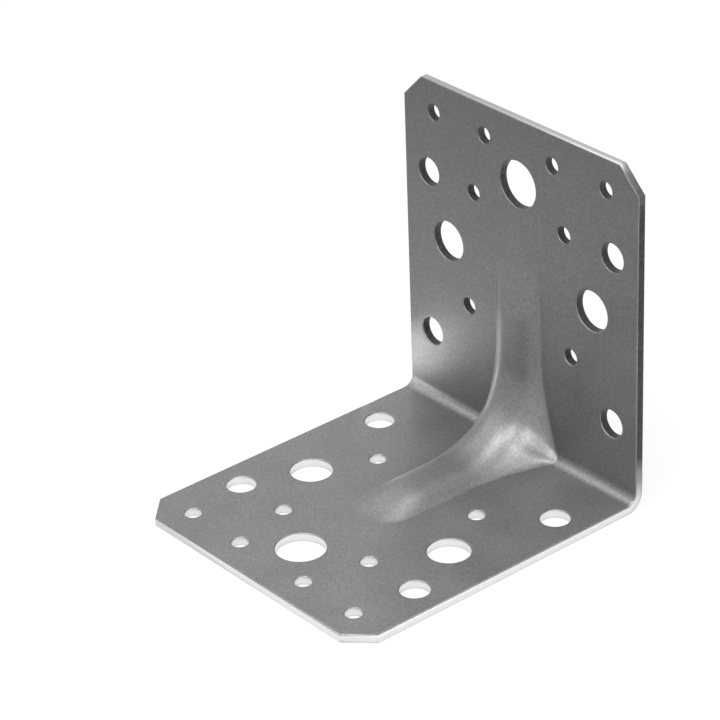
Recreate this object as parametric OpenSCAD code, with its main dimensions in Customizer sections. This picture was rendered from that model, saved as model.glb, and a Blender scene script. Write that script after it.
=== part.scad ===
// Ribbed angle bracket: one blank of galvanised sheet, punched, folded square and
// pressed with a stiffening rib through the fold.
// The origin is the middle of the heel, where the two outer faces would meet.
// +X runs across the width, the base flange runs towards -Y, the upright stands along +Z.

/* [Sheet] */
// Length of the base flange, from the outer face of the upright to the free edge
base_len = 100; // [90:1:140]
// Height of the upright flange, from the underside to the free edge
upright_len = 100; // [90:1:140]
// Width of both flanges
width = 90; // [84:1:120]
// Thickness of the sheet
sheet = 2.5; // [1.5:0.25:3]
// Inside radius of the fold
fold_r = 3; // [1.5:0.5:6]
// Leg of the 45 degree chamfer on each free corner
chamfer = 7; // [2:0.5:12]

/* [Nail holes] */
// Diameter of the nail holes
nail_d = 5; // [4:0.25:6]
// Distance of the end row from the free edge
nail_row_edge = 9; // [6:0.5:12]
// Distance of the outer nail holes in the end row from the sides
nail_row_side = 12; // [9:0.5:16]
// Pitch of the inner pair in the end row
nail_row_pitch = 26; // [18:0.5:34]
// Distance of the middle pair from the free edge
nail_mid_edge = 27.5; // [24:0.5:34]
// Pitch of the middle pair
nail_mid_pitch = 35; // [30:0.5:44]
// Distance of the pair beside the rib from the free edge
nail_rib_edge = 63; // [58:0.5:68]
// Pitch of the pair beside the rib
nail_rib_pitch = 40; // [34:0.5:50]

/* [Bolt holes] */
// Diameter of the four small bolt holes
bolt_d = 8.5; // [6.5:0.25:10]
// Distance of the small bolt holes from the sides
bolt_side = 9.5; // [8:0.5:14]
// Distance of the outer small bolt holes from the free edge
bolt_outer_edge = 27.5; // [22:0.5:34]
// Distance of the inner small bolt holes from the free edge
bolt_inner_edge = 77; // [68:0.5:82]
// Diameter of the two large bolt holes
big_bolt_d = 12; // [10.5:0.25:14]
// Distance of the large bolt holes from the sides
big_bolt_side = 17; // [14:0.5:20]
// Distance of the large bolt holes from the free edge
big_bolt_edge = 46; // [40:0.5:52]
// Diameter of the anchor hole on the centre line
anchor_d = 14; // [11:0.25:16]
// Distance of the anchor hole from the free edge
anchor_edge = 19; // [16:0.5:24]

/* [Rib] */
// Distance of each end of the rib from the outer face of the other flange
rib_reach = 60; // [54:1:66]
// Height of the rib above the flanges
rib_h = 3.4; // [2:0.2:4.6]
// Width of the rib at its foot, along the flanges
rib_foot_w = 18; // [14:0.5:24]
// Width of the rib at its foot, where it flares out to a point in the fold
rib_flare_w = 31; // [26:0.5:34]
// Length along the sheet over which the flare narrows to the foot width
rib_flare_len = 27; // [16:1:34]
// Radius of the rib's crest as it rounds the inner corner
rib_crest_r = 22; // [14:1:28]
// Radius of the web between the two foot lines, where the flare rounds off the corner
rib_web_r = 8; // [6:1:12]
// Length over which the rib sinks into the flange at each end
rib_runout = 18; // [12:1:24]

/* [Hidden] */
$fn = 96;

// Flat land kept round the rib, inside the panel that is pressed
land = 1.5;
panel_half = rib_flare_w / 2 + land;
panel_end = rib_reach + land;
// Where the fold ends and a flange is flat, and how far the rib runs on from there
flat_from = sheet + fold_r;
flat_run = rib_reach - flat_from;
half_fold_len = fold_r * PI / 4;
// Turn of the rib's section from crest to foot, in the corner and along the flanges.
// At 180 the flank would fade into the flange, and below that it meets it in a crease.
corner_turn = 170;
leg_turn = 140;
// Fullness of the section: the more, the broader and flatter is the top of the rib
corner_fullness = 1.55;
leg_fullness = 2.1;
// How hollow the flare's foot line is: 1 would be straight
flare_hollow = 1.6;
// How far the lines inside the flare's pointed foot line are rounded off, as a share of its length
blunting = 0.3;
// How much of the way from foot to crest the web takes to reach its own radius
web_share = 0.45;
// The rib's end is round in plan, down to this share of its foot width
end_share = 0.3;

// Facets in half of the fold, along a flange, and from the crest to the foot
fold_steps = 6;
flat_steps = 24;
flank_steps = 10;
// Step for the slopes from which the sheet's thickness is laid off
tiny = 0.001;
cut_clear = 1;

function mix(a, b, k) = a + (b - a) * k;
function ease(k) = let (c = min(1, max(0, k))) c * c * (3 - 2 * c);
function turned(angle) = [sin(angle), -cos(angle)];

// A station along the sheet is an angle below zero within the fold, which ends at 0
// with the sheet level, and a distance along the flange from there on.
// Each function gives [y, z] on the base half of the bracket.
function fold_at(station, radius) =
    station < 0
        ? [-flat_from, flat_from] + radius * turned(-station)
        : [-flat_from - station, flat_from - radius];

// How far a station is from the middle of the fold, as a share of the flare's length,
// with the flare's point rounded off by another such share
function along_flare(station, blunt = 0) =
    let (
        gone = station < 0 ? half_fold_len * (1 + station / 45) : half_fold_len + station,
        share = gone / rib_flare_len
    )
    min(1, sqrt(share * share + blunt * blunt) - blunt);

// An arc that rounds off the corner, seen from whose centre it covers the sheet, and from
// its ends on the flange, lifted
function arch_at(station, lift, radius) =
    let (
        low = fold_at(station, fold_r),
        start = sheet + lift + radius,
        centre = [-start, start],
        spoke = low - centre,
        reach = -low[0]
    )
    reach < start
        ? centre + radius * spoke / norm(spoke)
        : low + [0, lift * ease((rib_reach - reach) / rib_runout)];

// What the rib's section rises from: the web, which is the plain fold at the foot line
function web_at(across, station) =
    arch_at(station, 0, mix(fold_r, rib_web_r, ease((1 - abs(across)) / web_share)));

// Half the width of the rib at its foot, and what it would be for a line further in, as the
// flare is pointed at its foot alone
function foot_half(station, across = 1) =
    let (
        flare = pow(1 - along_flare(station, blunting * (1 - abs(across))), flare_hollow),
        past = (station + flat_from - rib_reach) / (rib_foot_w / 2) + 1,
        round_end = past <= 0 ? 1 : sqrt(max(0, 1 - past * past))
    )
    mix(rib_foot_w, rib_flare_w, flare) / 2 * max(end_share, round_end);

// Share of the rise from foot to crest, across the rib from 0 at the crest to 1 at the foot
function section(across, station) =
    let (
        k = ease(along_flare(station)),
        low = cos(mix(corner_turn, leg_turn, k)),
        turn = mix(corner_turn, leg_turn, k) * pow(across, mix(corner_fullness, leg_fullness, k))
    )
    across >= 1 ? 0 : (cos(turn) - low) / (1 - low);

// A point on the inner face of the sheet: across is -1 and 1 at the rib's feet
function inner_point(across, station) =
    let (
        crest = arch_at(station, rib_h, rib_crest_r),
        p = mix(web_at(across, station), crest, section(abs(across), station))
    )
    [across * foot_half(station, across), p[0], p[1]];

function inner_normal(across, station) =
    let (
        along_x = inner_point(across + tiny, station) - inner_point(across - tiny, station),
        along_flange = inner_point(across, station - tiny) - inner_point(across, station + tiny),
        n = cross(along_x, along_flange)
    )
    n / norm(n);

// The outer face lies one thickness of sheet behind the inner one
function outer_point(across, station) =
    inner_point(across, station) - sheet * inner_normal(across, station);

// The panel's land beside the rib keeps the plain section of the folded sheet
function land_point(x, station, radius) = let (p = fold_at(station, radius)) [x, p[0], p[1]];

// From the base half to the upright half, which mirrors it in the fold
function swapped(p) = [p[0], -p[2], -p[1]];

half_stations = [
    for (i = [1:fold_steps]) -45 + 45 * i / fold_steps,
    for (i = [1:flat_steps]) flat_run * i / flat_steps,
    flat_run + land
];
half_count = len(half_stations);
stations = concat(
    [for (i = [half_count - 1:-1:0]) [half_stations[i], true]],
    [[-45, false]],
    [for (s = half_stations) [s, false]]
);

// One row of points across the panel on the given face
function panel_row(station, outer) =
    let (radius = outer ? fold_r + sheet : fold_r)
    [
        land_point(-panel_half, station, radius),
        for (i = [-flank_steps:flank_steps])
            let (across = i / flank_steps)
            outer ? outer_point(across, station) : inner_point(across, station),
        land_point(panel_half, station, radius)
    ];

function panel_rows(outer) = [
    for (s = stations)
        let (row = panel_row(s[0], outer))
        s[1] ? [for (p = row) swapped(p)] : row
];

// The middle of the sheet, with the rib pressed into it, as one closed skin
module pressed_panel() {
    rows = len(stations);
    cols = 2 * flank_steps + 3;
    middle = (cols - 1) / 2;
    inner_rows = panel_rows(false);
    outer_rows = panel_rows(true);
    points = [for (rows_of_face = [inner_rows, outer_rows]) for (row = rows_of_face) for (p = row) p];
    function at(face, i, j) = face * rows * cols + i * cols + j;
    inner_faces = [
        for (i = [0:rows - 2]) for (j = [0:cols - 2])
            let (a = at(0, i, j), b = at(0, i, j + 1), c = at(0, i + 1, j + 1), d = at(0, i + 1, j))
            each j < middle ? [[a, b, c], [a, c, d]] : [[a, b, d], [b, c, d]]
    ];
    outer_faces = [
        for (i = [0:rows - 2]) for (j = [0:cols - 2])
            let (a = at(1, i, j), b = at(1, i, j + 1), c = at(1, i + 1, j + 1), d = at(1, i + 1, j))
            each j < middle ? [[a, c, b], [a, d, c]] : [[a, d, b], [b, d, c]]
    ];
    side_faces = [
        for (i = [0:rows - 2]) each [
            [at(0, i, 0), at(0, i + 1, 0), at(1, i + 1, 0), at(1, i, 0)],
            [at(0, i + 1, cols - 1), at(0, i, cols - 1), at(1, i, cols - 1), at(1, i + 1, cols - 1)]
        ]
    ];
    end_faces = [
        for (j = [0:cols - 2]) each [
            [at(0, 0, j + 1), at(0, 0, j), at(1, 0, j), at(1, 0, j + 1)],
            [at(0, rows - 1, j), at(0, rows - 1, j + 1), at(1, rows - 1, j + 1), at(1, rows - 1, j)]
        ]
    ];
    polyhedron(points, concat(inner_faces, outer_faces, side_faces, end_faces), convexity = 6);
}

// The fold on one side of the panel
module fold_strip() {
    half_fold = [for (i = [0:fold_steps]) -45 + 45 * i / fold_steps];
    // The profile is drawn with z as its x and y as its y, and then laid across the bracket
    function arc(radius) = concat(
        [for (i = [fold_steps:-1:1]) let (p = fold_at(half_fold[i], radius)) [-p[0], -p[1]]],
        [for (a = half_fold) let (p = fold_at(a, radius)) [p[1], p[0]]]
    );
    inner_arc = arc(fold_r);
    outer_arc = arc(fold_r + sheet);
    outline = concat(inner_arc, [for (i = [len(outer_arc) - 1:-1:0]) outer_arc[i]]);
    translate([panel_half, 0, 0])
        rotate([0, -90, 0])
            mirror([0, 0, 1])
                linear_extrude(width / 2 - panel_half)
                    polygon(outline);
}

// A flat flange lying along -Y, with its notch for the pressed panel
module flange(length) {
    half = width / 2;
    right = [
        [panel_half, -panel_end],
        [panel_half, -flat_from],
        [half, -flat_from],
        [half, chamfer - length],
        [half - chamfer, -length]
    ];
    left = [for (i = [len(right) - 1:-1:0]) [-right[i][0], right[i][1]]];
    linear_extrude(sheet)
        polygon(concat(right, left));
}

// All holes of a flange, each as [x, distance from the free edge, diameter]
hole_list = [
    for (side = [-1, 1]) each [
        [side * (width / 2 - nail_row_side), nail_row_edge, nail_d],
        [side * nail_row_pitch / 2, nail_row_edge, nail_d],
        [side * nail_mid_pitch / 2, nail_mid_edge, nail_d],
        [side * nail_rib_pitch / 2, nail_rib_edge, nail_d],
        [side * (width / 2 - bolt_side), bolt_outer_edge, bolt_d],
        [side * (width / 2 - bolt_side), bolt_inner_edge, bolt_d],
        [side * (width / 2 - big_bolt_side), big_bolt_edge, big_bolt_d]
    ],
    [0, anchor_edge, anchor_d]
];

module punched_holes(length) {
    for (hole = hole_list)
        translate([hole[0], hole[1] - length, -cut_clear])
            cylinder(d = hole[2], h = sheet + 2 * cut_clear);
}

module as_upright() {
    mirror([0, 1, 1]) children();
}

module bracket() {
    color([0.58, 0.59, 0.60])
        difference() {
            union() {
                flange(base_len);
                as_upright() flange(upright_len);
                fold_strip();
                mirror([1, 0, 0]) fold_strip();
                pressed_panel();
            }
            punched_holes(base_len);
            as_upright() punched_holes(upright_len);
        }
}

bracket();
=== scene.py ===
"""Angle bracket: one punched, folded and pressed sheet of galvanised steel, in a plain studio."""

import logging
import math
from dataclasses import dataclass, field
from enum import Enum
from typing import Iterable, Sequence

import bmesh
import bpy
from mathutils import Matrix, Vector


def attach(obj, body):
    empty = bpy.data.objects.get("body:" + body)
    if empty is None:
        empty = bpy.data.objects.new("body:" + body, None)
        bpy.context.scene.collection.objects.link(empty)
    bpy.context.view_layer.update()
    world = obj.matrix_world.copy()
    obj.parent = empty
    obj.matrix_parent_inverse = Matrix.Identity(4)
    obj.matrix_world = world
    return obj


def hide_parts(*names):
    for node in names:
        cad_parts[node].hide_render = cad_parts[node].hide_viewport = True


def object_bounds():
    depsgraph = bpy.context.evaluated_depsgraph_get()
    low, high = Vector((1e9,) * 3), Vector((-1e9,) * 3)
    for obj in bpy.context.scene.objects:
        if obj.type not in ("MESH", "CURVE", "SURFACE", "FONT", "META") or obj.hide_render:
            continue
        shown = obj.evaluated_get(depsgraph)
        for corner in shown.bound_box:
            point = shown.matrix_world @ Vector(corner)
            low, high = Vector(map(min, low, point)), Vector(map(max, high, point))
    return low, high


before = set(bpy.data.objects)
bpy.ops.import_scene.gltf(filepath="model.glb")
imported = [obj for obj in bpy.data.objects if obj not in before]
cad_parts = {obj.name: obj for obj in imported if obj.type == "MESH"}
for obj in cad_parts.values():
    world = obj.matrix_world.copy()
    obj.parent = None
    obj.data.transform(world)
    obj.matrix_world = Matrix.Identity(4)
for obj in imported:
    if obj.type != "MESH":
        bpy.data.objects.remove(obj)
CAD_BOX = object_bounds()

LOG = logging.getLogger("bracket")
MM = 0.001
# Turn of each half of the fold, in degrees
HALF_FOLD = 45.0
# Distance in mm within which two points of the blank are one
NEAR = 1e-4
# Distance in mm within which a point lies on a face of the blank
LEVEL = 1e-6
# The range in which most values of a noise lie
NOISE_RANGE = (0.3, 0.7)


def cad_length(axis: int) -> float:
    """Gives the length of the CAD's box along an axis, in mm."""
    low, high = CAD_BOX
    return round((high[axis] - low[axis]) / MM, 3)


def mix(a: float, b: float, k: float) -> float:
    """Goes from a to b as k goes from 0 to 1."""
    return a + (b - a) * k


def ease(k: float) -> float:
    """Goes smoothly from 0 to 1 with k."""
    c = min(1.0, max(0.0, k))
    return c * c * (3 - 2 * c)


def lies_at(element: bmesh.types.BMEdge | bmesh.types.BMFace, level: float) -> bool:
    """Tells whether an edge or face of the blank lies flat at a height."""
    return all(abs(v.co.z - level) < LEVEL for v in element.verts)


def put(name: str, bm: bmesh.types.BMesh) -> bpy.types.Object:
    """Puts a finished mesh into the scene.

    Args:
        name: Name of the mesh and of its object.
        bm: The mesh, which is freed.

    Returns:
        The new object, at the origin.
    """
    mesh = bpy.data.meshes.new(name)
    bm.to_mesh(mesh)
    bm.free()
    placed = bpy.data.objects.new(name, mesh)
    bpy.context.scene.collection.objects.link(placed)
    return placed


class Face(Enum):
    """The two faces of the sheet."""

    INNER = "inner"
    OUTER = "outer"


class Slot(Enum):
    """The material slots of the sheet, in their order on the mesh."""

    SKIN = 0
    SHEAR = 1


@dataclass(frozen=True)
class Hole:
    """A punched hole on one flange.

    Args:
        across: Distance from the bracket's middle plane, in mm.
        edge: Distance from the flange's free edge, in mm.
        diameter: Diameter of the hole, in mm.
    """

    across: float
    edge: float
    diameter: float


@dataclass(frozen=True)
class SheetSizes:
    """Sizes of the folded sheet, in mm.

    Args:
        flange: Length of each flange, from the other's outer face to its free edge.
        width: Width of both flanges.
        sheet: Thickness of the sheet.
        fold_r: Inside radius of the fold.
        chamfer: Leg of the chamfer on each free corner.
        nail_d: Diameter of the nail holes.
        bolt_d: Diameter of the small bolt holes.
        big_bolt_d: Diameter of the large bolt holes.
        anchor_d: Diameter of the anchor hole.
    """

    flange: float = cad_length(2)
    width: float = cad_length(0)
    sheet: float = 2.5
    fold_r: float = 3.0
    chamfer: float = 7.0
    nail_d: float = 5.0
    bolt_d: float = 8.5
    big_bolt_d: float = 12.0
    anchor_d: float = 14.0

    @property
    def flat_from(self) -> float:
        """Distance from the outer face of one flange to where the other is flat."""
        return self.sheet + self.fold_r

    @property
    def half_fold(self) -> float:
        """Length of the inner face from the middle of the fold to where it is flat."""
        return self.fold_r * math.pi / 4

    @property
    def half_blank(self) -> float:
        """Length of the flat blank from the middle of the fold to a free edge."""
        return self.half_fold + self.flange - self.flat_from

    def holes(self) -> list[Hole]:
        """Gives the holes of one flange.

        Returns:
            The holes, each with its place and diameter.
        """
        half = self.width / 2
        pairs = (
            # Nail holes: the end row's outer and inner pair, the middle pair and the one by the rib
            Hole(half - 12.0, 9.0, self.nail_d),
            Hole(13.0, 9.0, self.nail_d),
            Hole(17.5, 27.5, self.nail_d),
            Hole(20.0, 63.0, self.nail_d),
            # Bolt holes: the small ones near the free edge and near the fold, and the large ones
            Hole(half - 9.5, 27.5, self.bolt_d),
            Hole(half - 9.5, 77.0, self.bolt_d),
            Hole(half - 17.0, 46.0, self.big_bolt_d),
        )
        both = [Hole(side * one.across, one.edge, one.diameter) for one in pairs for side in (-1, 1)]
        return [*both, Hole(0.0, 19.0, self.anchor_d)]


@dataclass(frozen=True)
class PressedForm:
    """The fold and the rib, as the place in space of each point of the flat blank.

    A station is an angle below zero within the fold, which ends at 0, and a distance in
    mm along the flange from there on. All lengths are in mm and all turns in degrees.

    Args:
        sizes: Sizes of the folded sheet.
        reach: Distance of each end of the rib from the outer face of the other flange.
        height: Height of the rib above the flanges.
        foot_w: Width of the rib at its foot, along the flanges.
        flare_w: Width at the foot where the rib flares out to a point in the fold.
        flare_len: Length along the sheet over which the flare narrows to the foot width.
        crest_r: Radius of the crest as it rounds the inner corner.
        web_r: Radius of the web between the foot lines in the corner.
        web_share: How much of the way from foot to crest the web takes to reach its radius.
        blunting: How far lines inside the pointed foot line are rounded off there, as a
            share of the flare's length.
        runout: Length over which the rib sinks into the flange at each end.
        land: Flat land that the press keeps round the flare.
        corner_turn: Turn of the section from crest to foot, in the corner.
        leg_turn: Turn of the section from crest to foot, along the flanges.
        corner_fullness: Fullness of the section in the corner.
        leg_fullness: Fullness of the section along the flanges.
        flare_hollow: How hollow the flare's foot line is, where 1 would be straight.
        end_share: Share of the foot width down to which the rib's end is round in plan.
    """

    sizes: SheetSizes = field(default_factory=SheetSizes)
    reach: float = 60.0
    height: float = 3.4
    foot_w: float = 18.0
    flare_w: float = 31.0
    flare_len: float = 27.0
    crest_r: float = 22.0
    web_r: float = 8.0
    web_share: float = 0.45
    blunting: float = 0.3
    runout: float = 18.0
    land: float = 0.5
    corner_turn: float = 170.0
    leg_turn: float = 140.0
    corner_fullness: float = 1.55
    leg_fullness: float = 2.1
    flare_hollow: float = 1.6
    end_share: float = 0.3

    @property
    def panel_half(self) -> float:
        """Half the width of the panel that is pressed."""
        return self.flare_w / 2 + self.land

    @property
    def half_panel(self) -> float:
        """Length of the pressed panel on the blank, from the middle of the fold."""
        return self.sizes.half_fold + self.reach - self.sizes.flat_from + self.land

    def station(self, along: float) -> float:
        """Turns a distance along the blank, from the middle of the fold, into a station."""
        gone = along - self.sizes.half_fold
        return HALF_FOLD * gone / self.sizes.half_fold if gone < 0 else gone

    def fold_at(self, station: float) -> Vector:
        """Gives a point of the plain folded sheet.

        Args:
            station: Station along the sheet.

        Returns:
            The inner face's y and z there, on the base half.
        """
        low, radius = self.sizes.flat_from, self.sizes.fold_r
        if station < 0:
            turn = math.radians(-station)
            return Vector((-low + radius * math.sin(turn), low - radius * math.cos(turn)))
        return Vector((-low - station, low - radius))

    def fold_normal(self, station: float) -> Vector:
        """Gives the way the plain folded sheet's inner face looks."""
        turn = math.radians(min(0.0, station))
        return Vector((0.0, math.sin(turn), math.cos(turn)))

    def arch(self, station: float, lift: float, radius: float) -> Vector:
        """Gives a point of an arc that rounds off the corner.

        Args:
            station: Station along the sheet.
            lift: Height of the arc's ends above the flanges.
            radius: Radius of the arc.

        Returns:
            The point on the arc, or the lifted flange where the arc has ended.
        """
        low = self.fold_at(station)
        start = self.sizes.sheet + lift + radius
        centre = Vector((-start, start))
        if -low.x < start:
            return centre + (low - centre).normalized() * radius
        return low + Vector((0.0, lift * ease((self.reach + low.x) / self.runout)))

    def floor_at(self, across: float, station: float) -> Vector:
        """Gives the ground that the rib's section rises from: a web inside the foot line."""
        web = mix(self.sizes.fold_r, self.web_r, ease((1 - abs(across)) / self.web_share))
        return self.arch(station, 0.0, web)

    def along_flare(self, station: float, blunt: float = 0.0) -> float:
        """Gives how far a station is along the flare.

        Args:
            station: Station along the sheet.
            blunt: How far the flare's point is rounded off, as a share of its length.

        Returns:
            0 in the middle of the fold and 1 from the flare's end on.
        """
        start = self.sizes.half_fold
        gone = start * (1 + station / HALF_FOLD) if station < 0 else start + station
        return min(1.0, math.hypot(gone / self.flare_len, blunt) - blunt)

    def foot_half(self, station: float, across: float = 1.0) -> float:
        """Gives half the width of the rib at a station.

        Args:
            station: Station along the sheet.
            across: Place across the rib, as the flare is pointed at its foot alone.

        Returns:
            The width at the foot, and what it would be for a line further in.
        """
        blunt = self.blunting * (1 - abs(across))
        flare = (1 - self.along_flare(station, blunt)) ** self.flare_hollow
        past = (station + self.sizes.flat_from - self.reach) / (self.foot_w / 2) + 1
        round_end = 1.0 if past <= 0 else math.sqrt(max(0.0, 1 - past * past))
        return mix(self.foot_w, self.flare_w, flare) / 2 * max(self.end_share, round_end)

    def section(self, across: float, station: float) -> float:
        """Gives the share of the rise from foot to crest.

        Args:
            across: Place across the rib, 0 at the crest and 1 at the foot.
            station: Station along the sheet.

        Returns:
            1 at the crest and 0 from the foot outwards.
        """
        if across >= 1:
            return 0.0
        k = ease(self.along_flare(station))
        turn = math.radians(mix(self.corner_turn, self.leg_turn, k))
        full = mix(self.corner_fullness, self.leg_fullness, k)
        return (math.cos(turn * across**full) - math.cos(turn)) / (1 - math.cos(turn))

    def inner_point(self, across: float, station: float) -> Vector:
        """Gives a point on the inner face of the pressed panel.

        Args:
            across: Place across the rib, from -1 to 1.
            station: Station along the sheet.

        Returns:
            The point on the base half.
        """
        ground, crest = self.floor_at(across, station), self.arch(station, self.height, self.crest_r)
        p = ground.lerp(crest, self.section(abs(across), station))
        return Vector((across * self.foot_half(station, across), p.x, p.y))

    def inner_normal(self, across: float, station: float) -> Vector:
        """Gives the way the pressed panel's inner face looks, from its slopes.

        Args:
            across: Place across the rib, from -1 to 1.
            station: Station along the sheet.

        Returns:
            The normal on the base half.
        """
        step = 0.001
        over = self.inner_point(across + step, station) - self.inner_point(across - step, station)
        along = self.inner_point(across, station - step) - self.inner_point(across, station + step)
        return over.cross(along).normalized()

    def place(self, blank: Vector) -> Vector:
        """Moves a point of the flat blank to its place on the folded and pressed sheet.

        Args:
            blank: The point on the blank: x across, y along with the base half below 0,
                and z the height, which is 0 on the inner face.

        Returns:
            The point in the bracket's frame.
        """
        station = self.station(abs(blank.y))
        inside = abs(blank.x) <= self.panel_half + NEAR and abs(blank.y) <= self.half_panel + NEAR
        foot_b = self.flare_w / 2
        if inside and abs(blank.x) <= foot_b + NEAR:
            across = blank.x / foot_b
            p = self.inner_point(across, station) + self.inner_normal(across, station) * blank.z
        else:
            low = self.fold_at(station)
            x = blank.x
            if inside:
                foot = self.foot_half(station)
                past = abs(blank.x) - foot_b
                spare = self.panel_half - foot - self.land
                x = math.copysign(foot + past + spare * (past / self.land) ** 3, blank.x)
            p = Vector((x, low.x, low.y)) + self.fold_normal(station) * blank.z
        return p if blank.y <= 0 else Vector((p.x, -p.z, -p.y))


class NodeTree:
    """The nodes of a material or of the world, with the few steps that they share."""

    def __init__(self, owner: bpy.types.ID, shader: str) -> None:
        """Starts from the nodes that a new material or world has.

        Args:
            owner: The material or world.
            shader: Type of the shader that it starts with.
        """
        owner.use_nodes = True
        self.owner = owner
        self._tree = owner.node_tree
        self.shader = next(n for n in self._tree.nodes if n.type == shader)

    def add(self, kind: str) -> bpy.types.Node:
        """Adds a node of the given kind."""
        return self._tree.nodes.new(kind)

    def link(self, output: bpy.types.NodeSocket, target: bpy.types.NodeSocket) -> None:
        """Joins an output to an input."""
        self._tree.links.new(output, target)

    def coords(self) -> bpy.types.NodeSocket:
        """Gives the place on the piece, in metres."""
        return self.add("ShaderNodeTexCoord").outputs["Object"]

    def height(self, coords: bpy.types.NodeSocket) -> bpy.types.NodeSocket:
        """Gives the height of a place above the underside, in metres."""
        split = self.add("ShaderNodeSeparateXYZ")
        self.link(coords, split.inputs[0])
        return split.outputs["Z"]

    def noise(self, coords: bpy.types.NodeSocket, speckle: "Speckle") -> bpy.types.NodeSocket:
        """Adds a noise.

        Args:
            coords: The place.
            speckle: How fine and how detailed the noise is.

        Returns:
            The noise's value.
        """
        node = self.add("ShaderNodeTexNoise")
        node.inputs["Scale"].default_value = speckle.scale
        node.inputs["Detail"].default_value = speckle.detail
        self.link(coords, node.inputs["Vector"])
        return node.outputs["Fac"]

    def spread(self, value: bpy.types.NodeSocket, middle: float, share: float) -> bpy.types.NodeSocket:
        """Maps a noise to a range about a middle value.

        Args:
            value: The noise.
            middle: The value at the noise's middle.
            share: How far the ends lie from the middle, as a share of it.

        Returns:
            The mapped value.
        """
        return self.ranged(value, NOISE_RANGE, (middle * (1 - share), middle * (1 + share)))

    def ranged(
        self, value: bpy.types.NodeSocket, old: tuple[float, float], new: tuple[float, float]
    ) -> bpy.types.NodeSocket:
        """Maps a value from one range to another, and holds it at the ends.

        Args:
            value: The value.
            old: The two ends of the range that it comes from.
            new: The values that those ends get.

        Returns:
            The mapped value.
        """
        node = self.add("ShaderNodeMapRange")
        for socket, end in zip(("From Min", "From Max", "To Min", "To Max"), (*old, *new)):
            node.inputs[socket].default_value = end
        self.link(value, node.inputs["Value"])
        return node.outputs["Result"]

    def math(
        self, operation: str, a: bpy.types.NodeSocket, b: bpy.types.NodeSocket
    ) -> bpy.types.NodeSocket:
        """Joins two values by a sum, a product or the larger of them.

        Args:
            operation: Blender's name of the operation.
            a: The one value.
            b: The other value.

        Returns:
            The result.
        """
        node = self.add("ShaderNodeMath")
        node.operation = operation
        self.link(a, node.inputs[0])
        self.link(b, node.inputs[1])
        return node.outputs[0]

    def grey(self, value: bpy.types.NodeSocket) -> bpy.types.NodeSocket:
        """Makes a neutral colour of a value."""
        node = self.add("ShaderNodeCombineColor")
        for channel in ("Red", "Green", "Blue"):
            self.link(value, node.inputs[channel])
        return node.outputs["Color"]

    def showing(self) -> bpy.types.NodeSocket:
        """Gives 1 for rays that show the surround: seen straight, in a gloss or through glass."""
        rays = self.add("ShaderNodeLightPath").outputs
        either = self.math("MAXIMUM", rays["Is Camera Ray"], rays["Is Glossy Ray"])
        return self.math("MAXIMUM", either, rays["Is Transmission Ray"])


@dataclass(frozen=True)
class Speckle:
    """A noise on a finish.

    Args:
        scale: Scale of the noise, in cycles per metre.
        detail: Octaves of the noise.
        share: How far it moves the value it drives.
    """

    scale: float
    detail: float
    share: float


@dataclass(frozen=True)
class ZincFinish:
    """Satin galvanised steel: a fine grain and broad cloudy patches, with painted shade that darkens
    its tone towards the upright's upper end.

    Args:
        name: Name of the material.
        tone: Reflectance of the zinc.
        metallic: Share of its reflection that is metallic.
        roughness: Roughness of the zinc.
        roughness_share: How far the patches move the roughness, as a share of it.
        specular: Level of the sheen of the rest.
        top_shade: Painted shade: height in mm from which the zinc's tone is darkened, where that ends,
            and how much of its tone is left there.
        grain: Fine crystals.
        clouds: Broad patches.
        bump_mm: Height of the grain, in mm.
        bump_strength: How much of that height shows.
    """

    name: str = "zinc_skin"
    tone: float = 0.170
    metallic: float = 0.66
    roughness: float = 0.40
    roughness_share: float = 0.12
    specular: float = 0.5
    top_shade: tuple[float, float, float] = (30.0, 100.0, 0.62)
    grain: Speckle = Speckle(1500.0, 2.0, 0.16)
    clouds: Speckle = Speckle(60.0, 3.0, 0.05)
    bump_mm: float = 0.014
    bump_strength: float = 0.6

    def material(self) -> bpy.types.Material:
        """Builds the material.

        Returns:
            The new material.
        """
        made = NodeTree(bpy.data.materials.new(self.name), "BSDF_PRINCIPLED")
        coords, shader = made.coords(), made.shader
        grain = made.noise(coords, self.grain)
        clouds = made.noise(coords, self.clouds)
        tone = made.spread(grain, self.tone, self.grain.share)
        cloudy = made.spread(clouds, 1.0, self.clouds.share)
        # Painted shade: the tone is darkened with height over the upright's upper part.
        low, high, left = self.top_shade
        painted_shade = made.ranged(made.height(coords), (low * MM, high * MM), (1.0, left))
        value = made.math("MULTIPLY", made.math("MULTIPLY", tone, cloudy), painted_shade)
        made.link(made.grey(value), shader.inputs["Base Color"])
        rough = made.spread(clouds, self.roughness, self.roughness_share)
        made.link(rough, shader.inputs["Roughness"])
        shader.inputs["Metallic"].default_value = self.metallic
        shader.inputs["Specular IOR Level"].default_value = self.specular
        bump = made.add("ShaderNodeBump")
        bump.inputs["Strength"].default_value = self.bump_strength
        bump.inputs["Distance"].default_value = self.bump_mm * MM
        made.link(grain, bump.inputs["Height"])
        made.link(bump.outputs["Normal"], shader.inputs["Normal"])
        return made.owner


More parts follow.
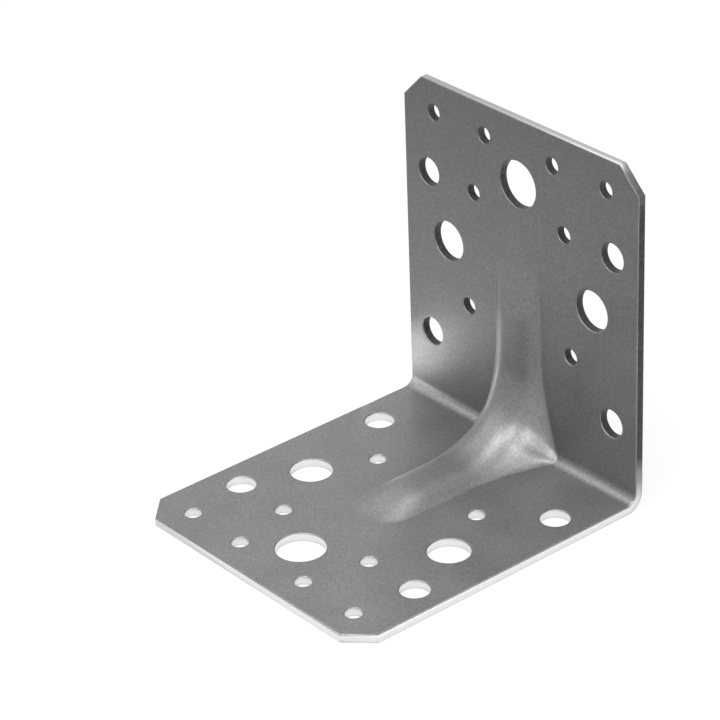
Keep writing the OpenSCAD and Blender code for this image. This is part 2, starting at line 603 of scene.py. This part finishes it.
@dataclass(frozen=True)
class ShearFinish:
    """The sheared and punched edges, with painted light by height: a painted reflection of the pale
    floor makes them bright and metallic low down, painted shade makes them dark higher up, and a
    painted highlight lightens the upright's top edge.

    Args:
        name: Name of the material.
        painted_light_bands: Painted light: height above the underside in mm and the tone there, from 0
            upwards, bright low down, dark higher up and lighter at the top edge.
        metal_tones: The tones between which the edge goes from not metallic to metallic, so that the
            painted light also sets how metallic it is.
        roughness: Roughness of the sheared face.
        specular: Level of the sheen where it is not metallic.
        drag: Fine drag marks of the punch, whose share is a plain difference of tone.
    """

    name: str = "sheared_edge"
    painted_light_bands: tuple[tuple[float, float], ...] = (
        (0.0, 0.74),
        (3.0, 0.74),
        (9.0, 0.30),
        (16.0, 0.035),
        (88.0, 0.035),
        (98.0, 0.12),
        (100.0, 0.42),
    )
    metal_tones: tuple[float, float] = (0.05, 0.30)
    roughness: float = 0.40
    specular: float = 0.1
    drag: Speckle = Speckle(900.0, 2.0, 0.012)

    def material(self) -> bpy.types.Material:
        """Builds the material.

        Returns:
            The new material.
        """
        made = NodeTree(bpy.data.materials.new(self.name), "BSDF_PRINCIPLED")
        coords, shader = made.coords(), made.shader
        # Painted light: the tone follows height. A painted reflection makes it bright low down, painted
        # shade makes it dark higher up, and a painted highlight lightens the top edge.
        span = self.painted_light_bands[-1][0]
        ramp = made.add("ShaderNodeValToRGB")
        for place, _ in self.painted_light_bands[1:-1]:
            ramp.color_ramp.elements.new(place / span)
        for stop, (_, tone) in zip(ramp.color_ramp.elements, self.painted_light_bands):
            stop.color = (tone, tone, tone, 1)
        made.link(made.ranged(made.height(coords), (0.0, span * MM), (0.0, 1.0)), ramp.inputs["Fac"])
        drag = made.noise(coords, self.drag)
        marks = made.ranged(drag, NOISE_RANGE, (-self.drag.share, self.drag.share))
        tone = made.math("ADD", ramp.outputs["Color"], marks)
        made.link(made.grey(tone), shader.inputs["Base Color"])
        # The painted tone also sets how metallic the edge is.
        made.link(made.ranged(ramp.outputs["Color"], self.metal_tones, (0.0, 1.0)), shader.inputs["Metallic"])
        shader.inputs["Roughness"].default_value = self.roughness
        shader.inputs["Specular IOR Level"].default_value = self.specular
        return made.owner


@dataclass
class BracketSheet:
    """The bracket itself, made as in the works: blanked, punched, folded and pressed.

    Args:
        sizes: Sizes of the folded sheet.
        form: The fold and the rib.
        skin: Finish of the two faces.
        shear: Finish of the cut edges and the hole walls.
        edge_roll: Radius rolled on the inner side of the cut edges, in mm.
        edge_burr: Break on the outer side of the cut edges, in mm.
        edge_steps: Facets of that rolled radius.
        hole_roll: Radius rolled on the inner rim of the holes, in mm.
        hole_land: How much tighter than its size a hole's wall is, on the radius in mm.
        hole_burr: Break on the outer rim of the holes, in mm.
        hole_steps: Facets of that rolled rim.
        spin_steps: Least number of facets round a hole.
        spin_per_mm: Facets round a larger hole, for each mm of its diameter.
        guard: Width of the band that keeps an edge's shading to itself, in mm.
        fold_rows: Rows in half of the fold.
        leg_step: Length of the rows along the rib, in mm.
        half_columns: Columns from the rib's crest to its foot.
    """

    sizes: SheetSizes = field(default_factory=SheetSizes)
    form: PressedForm = field(default_factory=PressedForm)
    skin: ZincFinish = ZincFinish()
    shear: ShearFinish = ShearFinish()
    edge_roll: float = 0.45
    edge_burr: float = 0.15
    edge_steps: int = 4
    hole_roll: float = 0.38
    hole_land: float = 0.20
    hole_burr: float = 0.05
    hole_steps: int = 5
    spin_steps: int = 48
    spin_per_mm: float = 6.0
    guard: float = 0.35
    fold_rows: int = 12
    leg_step: float = 1.1
    half_columns: int = 24

    def level(self, face: Face) -> float:
        """Gives the height of a face of the blank, in mm."""
        return 0.0 if face is Face.INNER else -self.sizes.sheet

    def blank(self) -> bmesh.types.BMesh:
        """Makes the edge of the flat blank, with both faces left open.

        Returns:
            The blank's wall with its rolled upper edge and a guard band on each face.
        """
        half, end, cut = self.sizes.width / 2, self.sizes.half_blank, self.sizes.chamfer
        outline = [
            (half, end - cut), (half - cut, end), (cut - half, end), (-half, end - cut),
            (-half, cut - end), (cut - half, -end), (half - cut, -end), (half, cut - end),
        ]
        bm = bmesh.new()
        lower = bm.faces.new([bm.verts.new((x, y, -self.sizes.sheet)) for x, y in outline])
        lower.normal_update()
        raised = bmesh.ops.extrude_face_region(bm, geom=[lower], use_keep_orig=True)["geom"]
        upper = [v for v in raised if isinstance(v, bmesh.types.BMVert)]
        bmesh.ops.translate(bm, vec=(0, 0, self.sizes.sheet), verts=upper)
        bmesh.ops.recalc_face_normals(bm, faces=bm.faces)
        rims = ((Face.INNER, self.edge_roll, self.edge_steps), (Face.OUTER, self.edge_burr, 1))
        for face, offset, segments in rims:
            bmesh.ops.bevel(
                bm, geom=[e for e in bm.edges if lies_at(e, self.level(face))], offset=offset,
                offset_type="OFFSET", segments=segments, profile=0.5, affect="EDGES", material=-1,
            )
        for face in Face:
            flat = [f for f in bm.faces if lies_at(f, self.level(face))]
            bmesh.ops.inset_region(bm, faces=flat, thickness=self.guard, use_even_offset=True)
            bmesh.ops.delete(bm, geom=flat, context="FACES_ONLY")
        return bm

    def hole_profile(self, hole: Hole) -> list[tuple[float, float]]:
        """Gives the section through a hole's wall.

        Args:
            hole: The hole.

        Returns:
            Radius and height of each point, from the inner face to the outer one.
        """
        radius, sheet = hole.diameter / 2 - self.hole_land, self.sizes.sheet
        roll, burr, guard = self.hole_roll, self.hole_burr, self.guard
        turns = [math.pi / 2 * i / self.hole_steps for i in range(self.hole_steps + 1)]
        return [
            (radius + roll + 2 * guard, 0.0),
            (radius + roll + guard, 0.0),
            *((radius + roll * (1 - math.sin(turn)), roll * (math.cos(turn) - 1)) for turn in turns),
            (radius, burr - sheet),
            (radius + burr, -sheet),
            (radius + burr + guard, -sheet),
            (radius + burr + 2 * guard, -sheet),
        ]

    def punch(self, bm: bmesh.types.BMesh, hole: Hole, side: int) -> None:
        """Spins the wall of one hole, with the rolled rim that the punch leaves.

        Args:
            bm: The blank.
            hole: The hole.
            side: -1 for the base half of the blank and 1 for the upright half.
        """
        centre = Vector((hole.across, side * (self.sizes.half_blank - hole.edge), 0.0))
        wall = bmesh.new()
        verts = [wall.verts.new(centre + Vector((r, 0.0, z))) for r, z in self.hole_profile(hole)]
        edges = [wall.edges.new(pair) for pair in zip(verts, verts[1:])]
        bmesh.ops.spin(
            wall, geom=[*verts, *edges], cent=centre, axis=(0, 0, 1), angle=2 * math.pi,
            steps=max(self.spin_steps, round(hole.diameter * self.spin_per_mm)),
            use_merge=True, use_duplicate=False,
        )
        made = bpy.data.meshes.new("hole_wall")
        wall.to_mesh(made)
        wall.free()
        bm.from_mesh(made)
        bpy.data.meshes.remove(made)

    def fold_lines(self) -> list[float]:
        """Gives where the rows of half the fold lie on the blank, from 0 to its end."""
        return [self.sizes.half_fold * i / self.fold_rows for i in range(self.fold_rows + 1)]

    def rows(self) -> list[float]:
        """Gives where the pressed panel's rows lie on the blank's base half, from 0 on."""
        flat = self.form.half_panel - self.form.land - self.sizes.half_fold
        count = round(flat / self.leg_step)
        legs = [self.sizes.half_fold + flat * i / count for i in range(1, count + 1)]
        return [*self.fold_lines(), *legs, self.form.half_panel]

    def columns(self) -> list[float]:
        """Gives where the pressed panel's columns lie on the blank, from the middle on."""
        foot, land = self.form.flare_w / 2, self.form.land
        return [
            *(foot * i / self.half_columns for i in range(self.half_columns + 1)),
            foot + 0.3 * land, foot + 0.6 * land, self.form.panel_half,
        ]

    def lay_panel(self, bm: bmesh.types.BMesh, face: Face) -> None:
        """Lays the fine grid that is pressed into the rib on one face of the blank.

        Args:
            bm: The blank.
            face: The face to lay it on.
        """
        xs, ys = self.columns(), self.rows()
        xs = [-x for x in xs[:0:-1]] + xs
        ys = [-y for y in ys[:0:-1]] + ys
        made = bmesh.ops.create_grid(bm, x_segments=len(xs) - 1, y_segments=len(ys) - 1, size=0.5)
        for vert in made["verts"]:
            i = round((vert.co.x + 0.5) * (len(xs) - 1))
            j = round((vert.co.y + 0.5) * (len(ys) - 1))
            vert.co = Vector((xs[i], ys[j], self.level(face)))

    def close_face(self, bm: bmesh.types.BMesh, face: Face) -> None:
        """Fills a face of the blank between its edge, its holes and the panel.

        Args:
            bm: The blank.
            face: The face to fill.
        """
        rim = [e for e in bm.edges if e.is_boundary and lies_at(e, self.level(face))]
        bmesh.ops.triangle_fill(bm, use_beauty=True, edges=rim, normal=(0, 0, 1))

    def cut_rows(self, bm: bmesh.types.BMesh) -> None:
        """Cuts the rows of the fold right across the blank, so that it can bend there."""
        rows = [*self.fold_lines()[1:], self.sizes.half_fold + self.guard]
        for y in [0.0, *rows, *(-y for y in rows)]:
            bmesh.ops.bisect_plane(
                bm, geom=[*bm.verts, *bm.edges, *bm.faces], dist=NEAR,
                plane_co=(0, y, 0), plane_no=(0, 1, 0),
            )

    def sort_faces(self, bm: bmesh.types.BMesh) -> None:
        """Smooths the flat blank's faces, and gives its walls the sheared finish.

        Args:
            bm: The blank.
        """
        middle = self.sizes.sheet / 2
        for one in bm.faces:
            one.smooth = True
            steep = abs(one.normal.z) < 0.2
            within = abs(one.calc_center_median().z + middle) < middle - self.edge_burr
            one.material_index = (Slot.SHEAR if steep and within else Slot.SKIN).value

    def build(self) -> bpy.types.Object:
        """Builds the bracket.

        Returns:
            The finished piece, at the origin, in metres.
        """
        bm = self.blank()
        for hole in self.sizes.holes():
            for side in (-1, 1):
                self.punch(bm, hole, side)
        for face in Face:
            self.lay_panel(bm, face)
        for face in Face:
            self.close_face(bm, face)
        self.cut_rows(bm)
        bmesh.ops.remove_doubles(bm, verts=bm.verts, dist=NEAR)
        bmesh.ops.recalc_face_normals(bm, faces=bm.faces)
        self.sort_faces(bm)
        for vert in bm.verts:
            vert.co = self.form.place(vert.co) * MM
        bmesh.ops.recalc_face_normals(bm, faces=bm.faces)
        loose = sum(not e.is_manifold for e in bm.edges)
        LOG.info("bracket_sheet: %d faces, %d open edges", len(bm.faces), loose)
        return put("bracket_sheet", bm)

    def dress(self, piece: bpy.types.Object) -> None:
        """Gives the piece its finishes and ties it to the part.

        Args:
            piece: The finished piece.
        """
        piece.data.materials.append(self.skin.material())
        piece.data.materials.append(self.shear.material())
        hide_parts("bracket")
        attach(piece, "root")


@dataclass(frozen=True)
class Softbox:
    """A studio lamp aimed at the bracket, hidden from the camera.

    Args:
        name: Name of the lamp.
        place: Where it hangs, in metres.
        size: Width and height of its face, in metres.
        power: Power, in watts.
        aim: The point that it faces, in metres.
    """

    name: str
    place: tuple[float, float, float]
    size: tuple[float, float]
    power: float
    aim: tuple[float, float, float] = (0.0, -0.035, 0.035)

    def light(self) -> None:
        """Hangs the lamp."""
        lamp = bpy.data.lights.new(self.name, "AREA")
        lamp.shape = "RECTANGLE"
        lamp.size, lamp.size_y = self.size
        lamp.energy = self.power
        hung = bpy.data.objects.new(self.name, lamp)
        hung.location = self.place
        hung.rotation_euler = (Vector(self.place) - Vector(self.aim)).to_track_quat("Z", "Y").to_euler()
        hung.visible_camera = False
        bpy.context.scene.collection.objects.link(hung)
        LOG.info("%s: %g W", self.name, self.power)


@dataclass
class Studio:
    """A pale floor, a white surround and soft lamps.

    Args:
        ambient: Strength of the surround for rays that don't show it.
        paint: Reflectance of the floor's paint.
        roughness: Roughness of the floor's paint.
        whiteness: Share of plain white in the floor for rays that show it. The rest is its
            paint, which keeps the bracket's shadow.
        floor_half: Half the width of the floor, in metres.
        lamps: The lamps. The low card stands at the fold's left end, and lights the upright
            beside it.
    """

    ambient: float = 0.05
    paint: float = 0.9
    roughness: float = 0.9
    whiteness: float = 0.85
    floor_half: float = 6.0
    lamps: Sequence[Softbox] = (
        Softbox("overhead", (-0.05, 0.00, 1.25), (1.40, 1.40), 11.0),
        Softbox("top_front", (-0.15, -0.40, 1.00), (0.60, 0.60), 5.4),
        Softbox("front_key", (-0.30, -0.60, 0.75), (0.60, 0.50), 0.5),
        Softbox("left_key", (-0.67, -0.49, 0.60), (0.40, 0.40), 0.8),
        Softbox("right_front_fill", (0.40, -0.62, 0.78), (0.40, 0.40), 4.8),
        Softbox("right_fill", (0.95, -0.18, 0.50), (0.50, 0.50), 7.2),
        Softbox("low_card", (-0.054, -0.014, 0.006), (0.016, 0.012), 0.0020, (-0.041, -0.003, 0.015)),
    )

    def floor(self) -> None:
        """Lays the floor, which shows white and keeps the bracket's shadow."""
        bm = bmesh.new()
        bmesh.ops.create_grid(bm, x_segments=1, y_segments=1, size=self.floor_half)
        laid = put("studio_floor", bm)
        laid.data.materials.append(self.floor_material())

    def floor_material(self) -> bpy.types.Material:
        """Makes the floor's paint: white where it is seen, a plain pale grey to soft light.

        Returns:
            The new material.
        """
        made = NodeTree(bpy.data.materials.new("floor_paint"), "BSDF_PRINCIPLED")
        made.shader.inputs["Base Color"].default_value = (self.paint, self.paint, self.paint, 1)
        made.shader.inputs["Roughness"].default_value = self.roughness
        white = made.add("ShaderNodeEmission")
        blend = made.add("ShaderNodeMixShader")
        made.link(made.ranged(made.showing(), (0.0, 1.0), (0.0, self.whiteness)), blend.inputs[0])
        made.link(made.shader.outputs[0], blend.inputs[1])
        made.link(white.outputs[0], blend.inputs[2])
        out = next(n for n in made.owner.node_tree.nodes if n.type == "OUTPUT_MATERIAL")
        made.link(blend.outputs[0], out.inputs["Surface"])
        return made.owner

    def world(self) -> None:
        """Sets the surround: white where it is seen, and a plain level of light elsewhere."""
        made = NodeTree(bpy.data.worlds.new("studio_surround"), "BACKGROUND")
        made.shader.inputs["Color"].default_value = (1, 1, 1, 1)
        strength = made.ranged(made.showing(), (0.0, 1.0), (self.ambient, 1.0))
        made.link(strength, made.shader.inputs["Strength"])
        bpy.context.scene.world = made.owner

    def build(self) -> None:
        """Builds the studio."""
        self.floor()
        self.world()
        for lamp in self.lamps:
            lamp.light()


@dataclass(frozen=True)
class StudioCamera:
    """The camera, at the place and angle that show the bracket as seen from its front right.

    Args:
        azimuth: Turn about the vertical, in degrees, from in front of the bracket.
        elevation: Height above the horizon, in degrees.
        roll: Turn about the line of sight, in degrees.
        offset: Place across the line of sight, right and up, in mm.
        distance: Distance from the origin along the line of sight, in mm.
        focal: Focal length, in mm.
        film: Width of the picture on the film, in mm.
        clip: Nearest and farthest distance that it shows, in metres.
    """

    azimuth: float = 50.4716
    elevation: float = 29.2527
    roll: float = -2.1800
    offset: tuple[float, float] = (-46.0614, 23.6366)
    distance: float = 895.2961
    focal: float = 162.12
    film: float = 36.0
    clip: tuple[float, float] = (0.01, 50.0)

    def build(self) -> None:
        """Sets the camera up and makes it the scene's."""
        az, el, roll = (math.radians(a) for a in (self.azimuth, self.elevation, self.roll))
        back = Vector((math.sin(az) * math.cos(el), -math.cos(az) * math.cos(el), math.sin(el)))
        level = Vector((math.cos(az), math.sin(az), 0.0))
        rise = back.cross(level)
        right = level * math.cos(roll) + rise * math.sin(roll)
        up = rise * math.cos(roll) - level * math.sin(roll)
        place = right * self.offset[0] + up * self.offset[1] + back * self.distance
        data = bpy.data.cameras.new("studio_camera")
        data.sensor_width = self.film
        data.lens = self.focal
        data.clip_start, data.clip_end = self.clip
        seat = bpy.data.objects.new("studio_camera", data)
        turn = Matrix((right, up, back)).transposed().to_4x4()
        seat.matrix_world = Matrix.Translation(place * MM) @ turn
        bpy.context.scene.collection.objects.link(seat)
        bpy.context.scene.camera = seat
        LOG.info("studio_camera: %g mm", self.focal)


def main() -> None:
    """Builds the bracket, the studio and the camera."""
    logging.basicConfig(level=logging.INFO, format="%(name)s: %(message)s")
    bpy.context.scene.view_settings.view_transform = "Standard"
    StudioCamera().build()
    sheet = BracketSheet()
    piece = sheet.build()
    sheet.dress(piece)
    Studio().build()


if __name__ == "__main__":
    main()
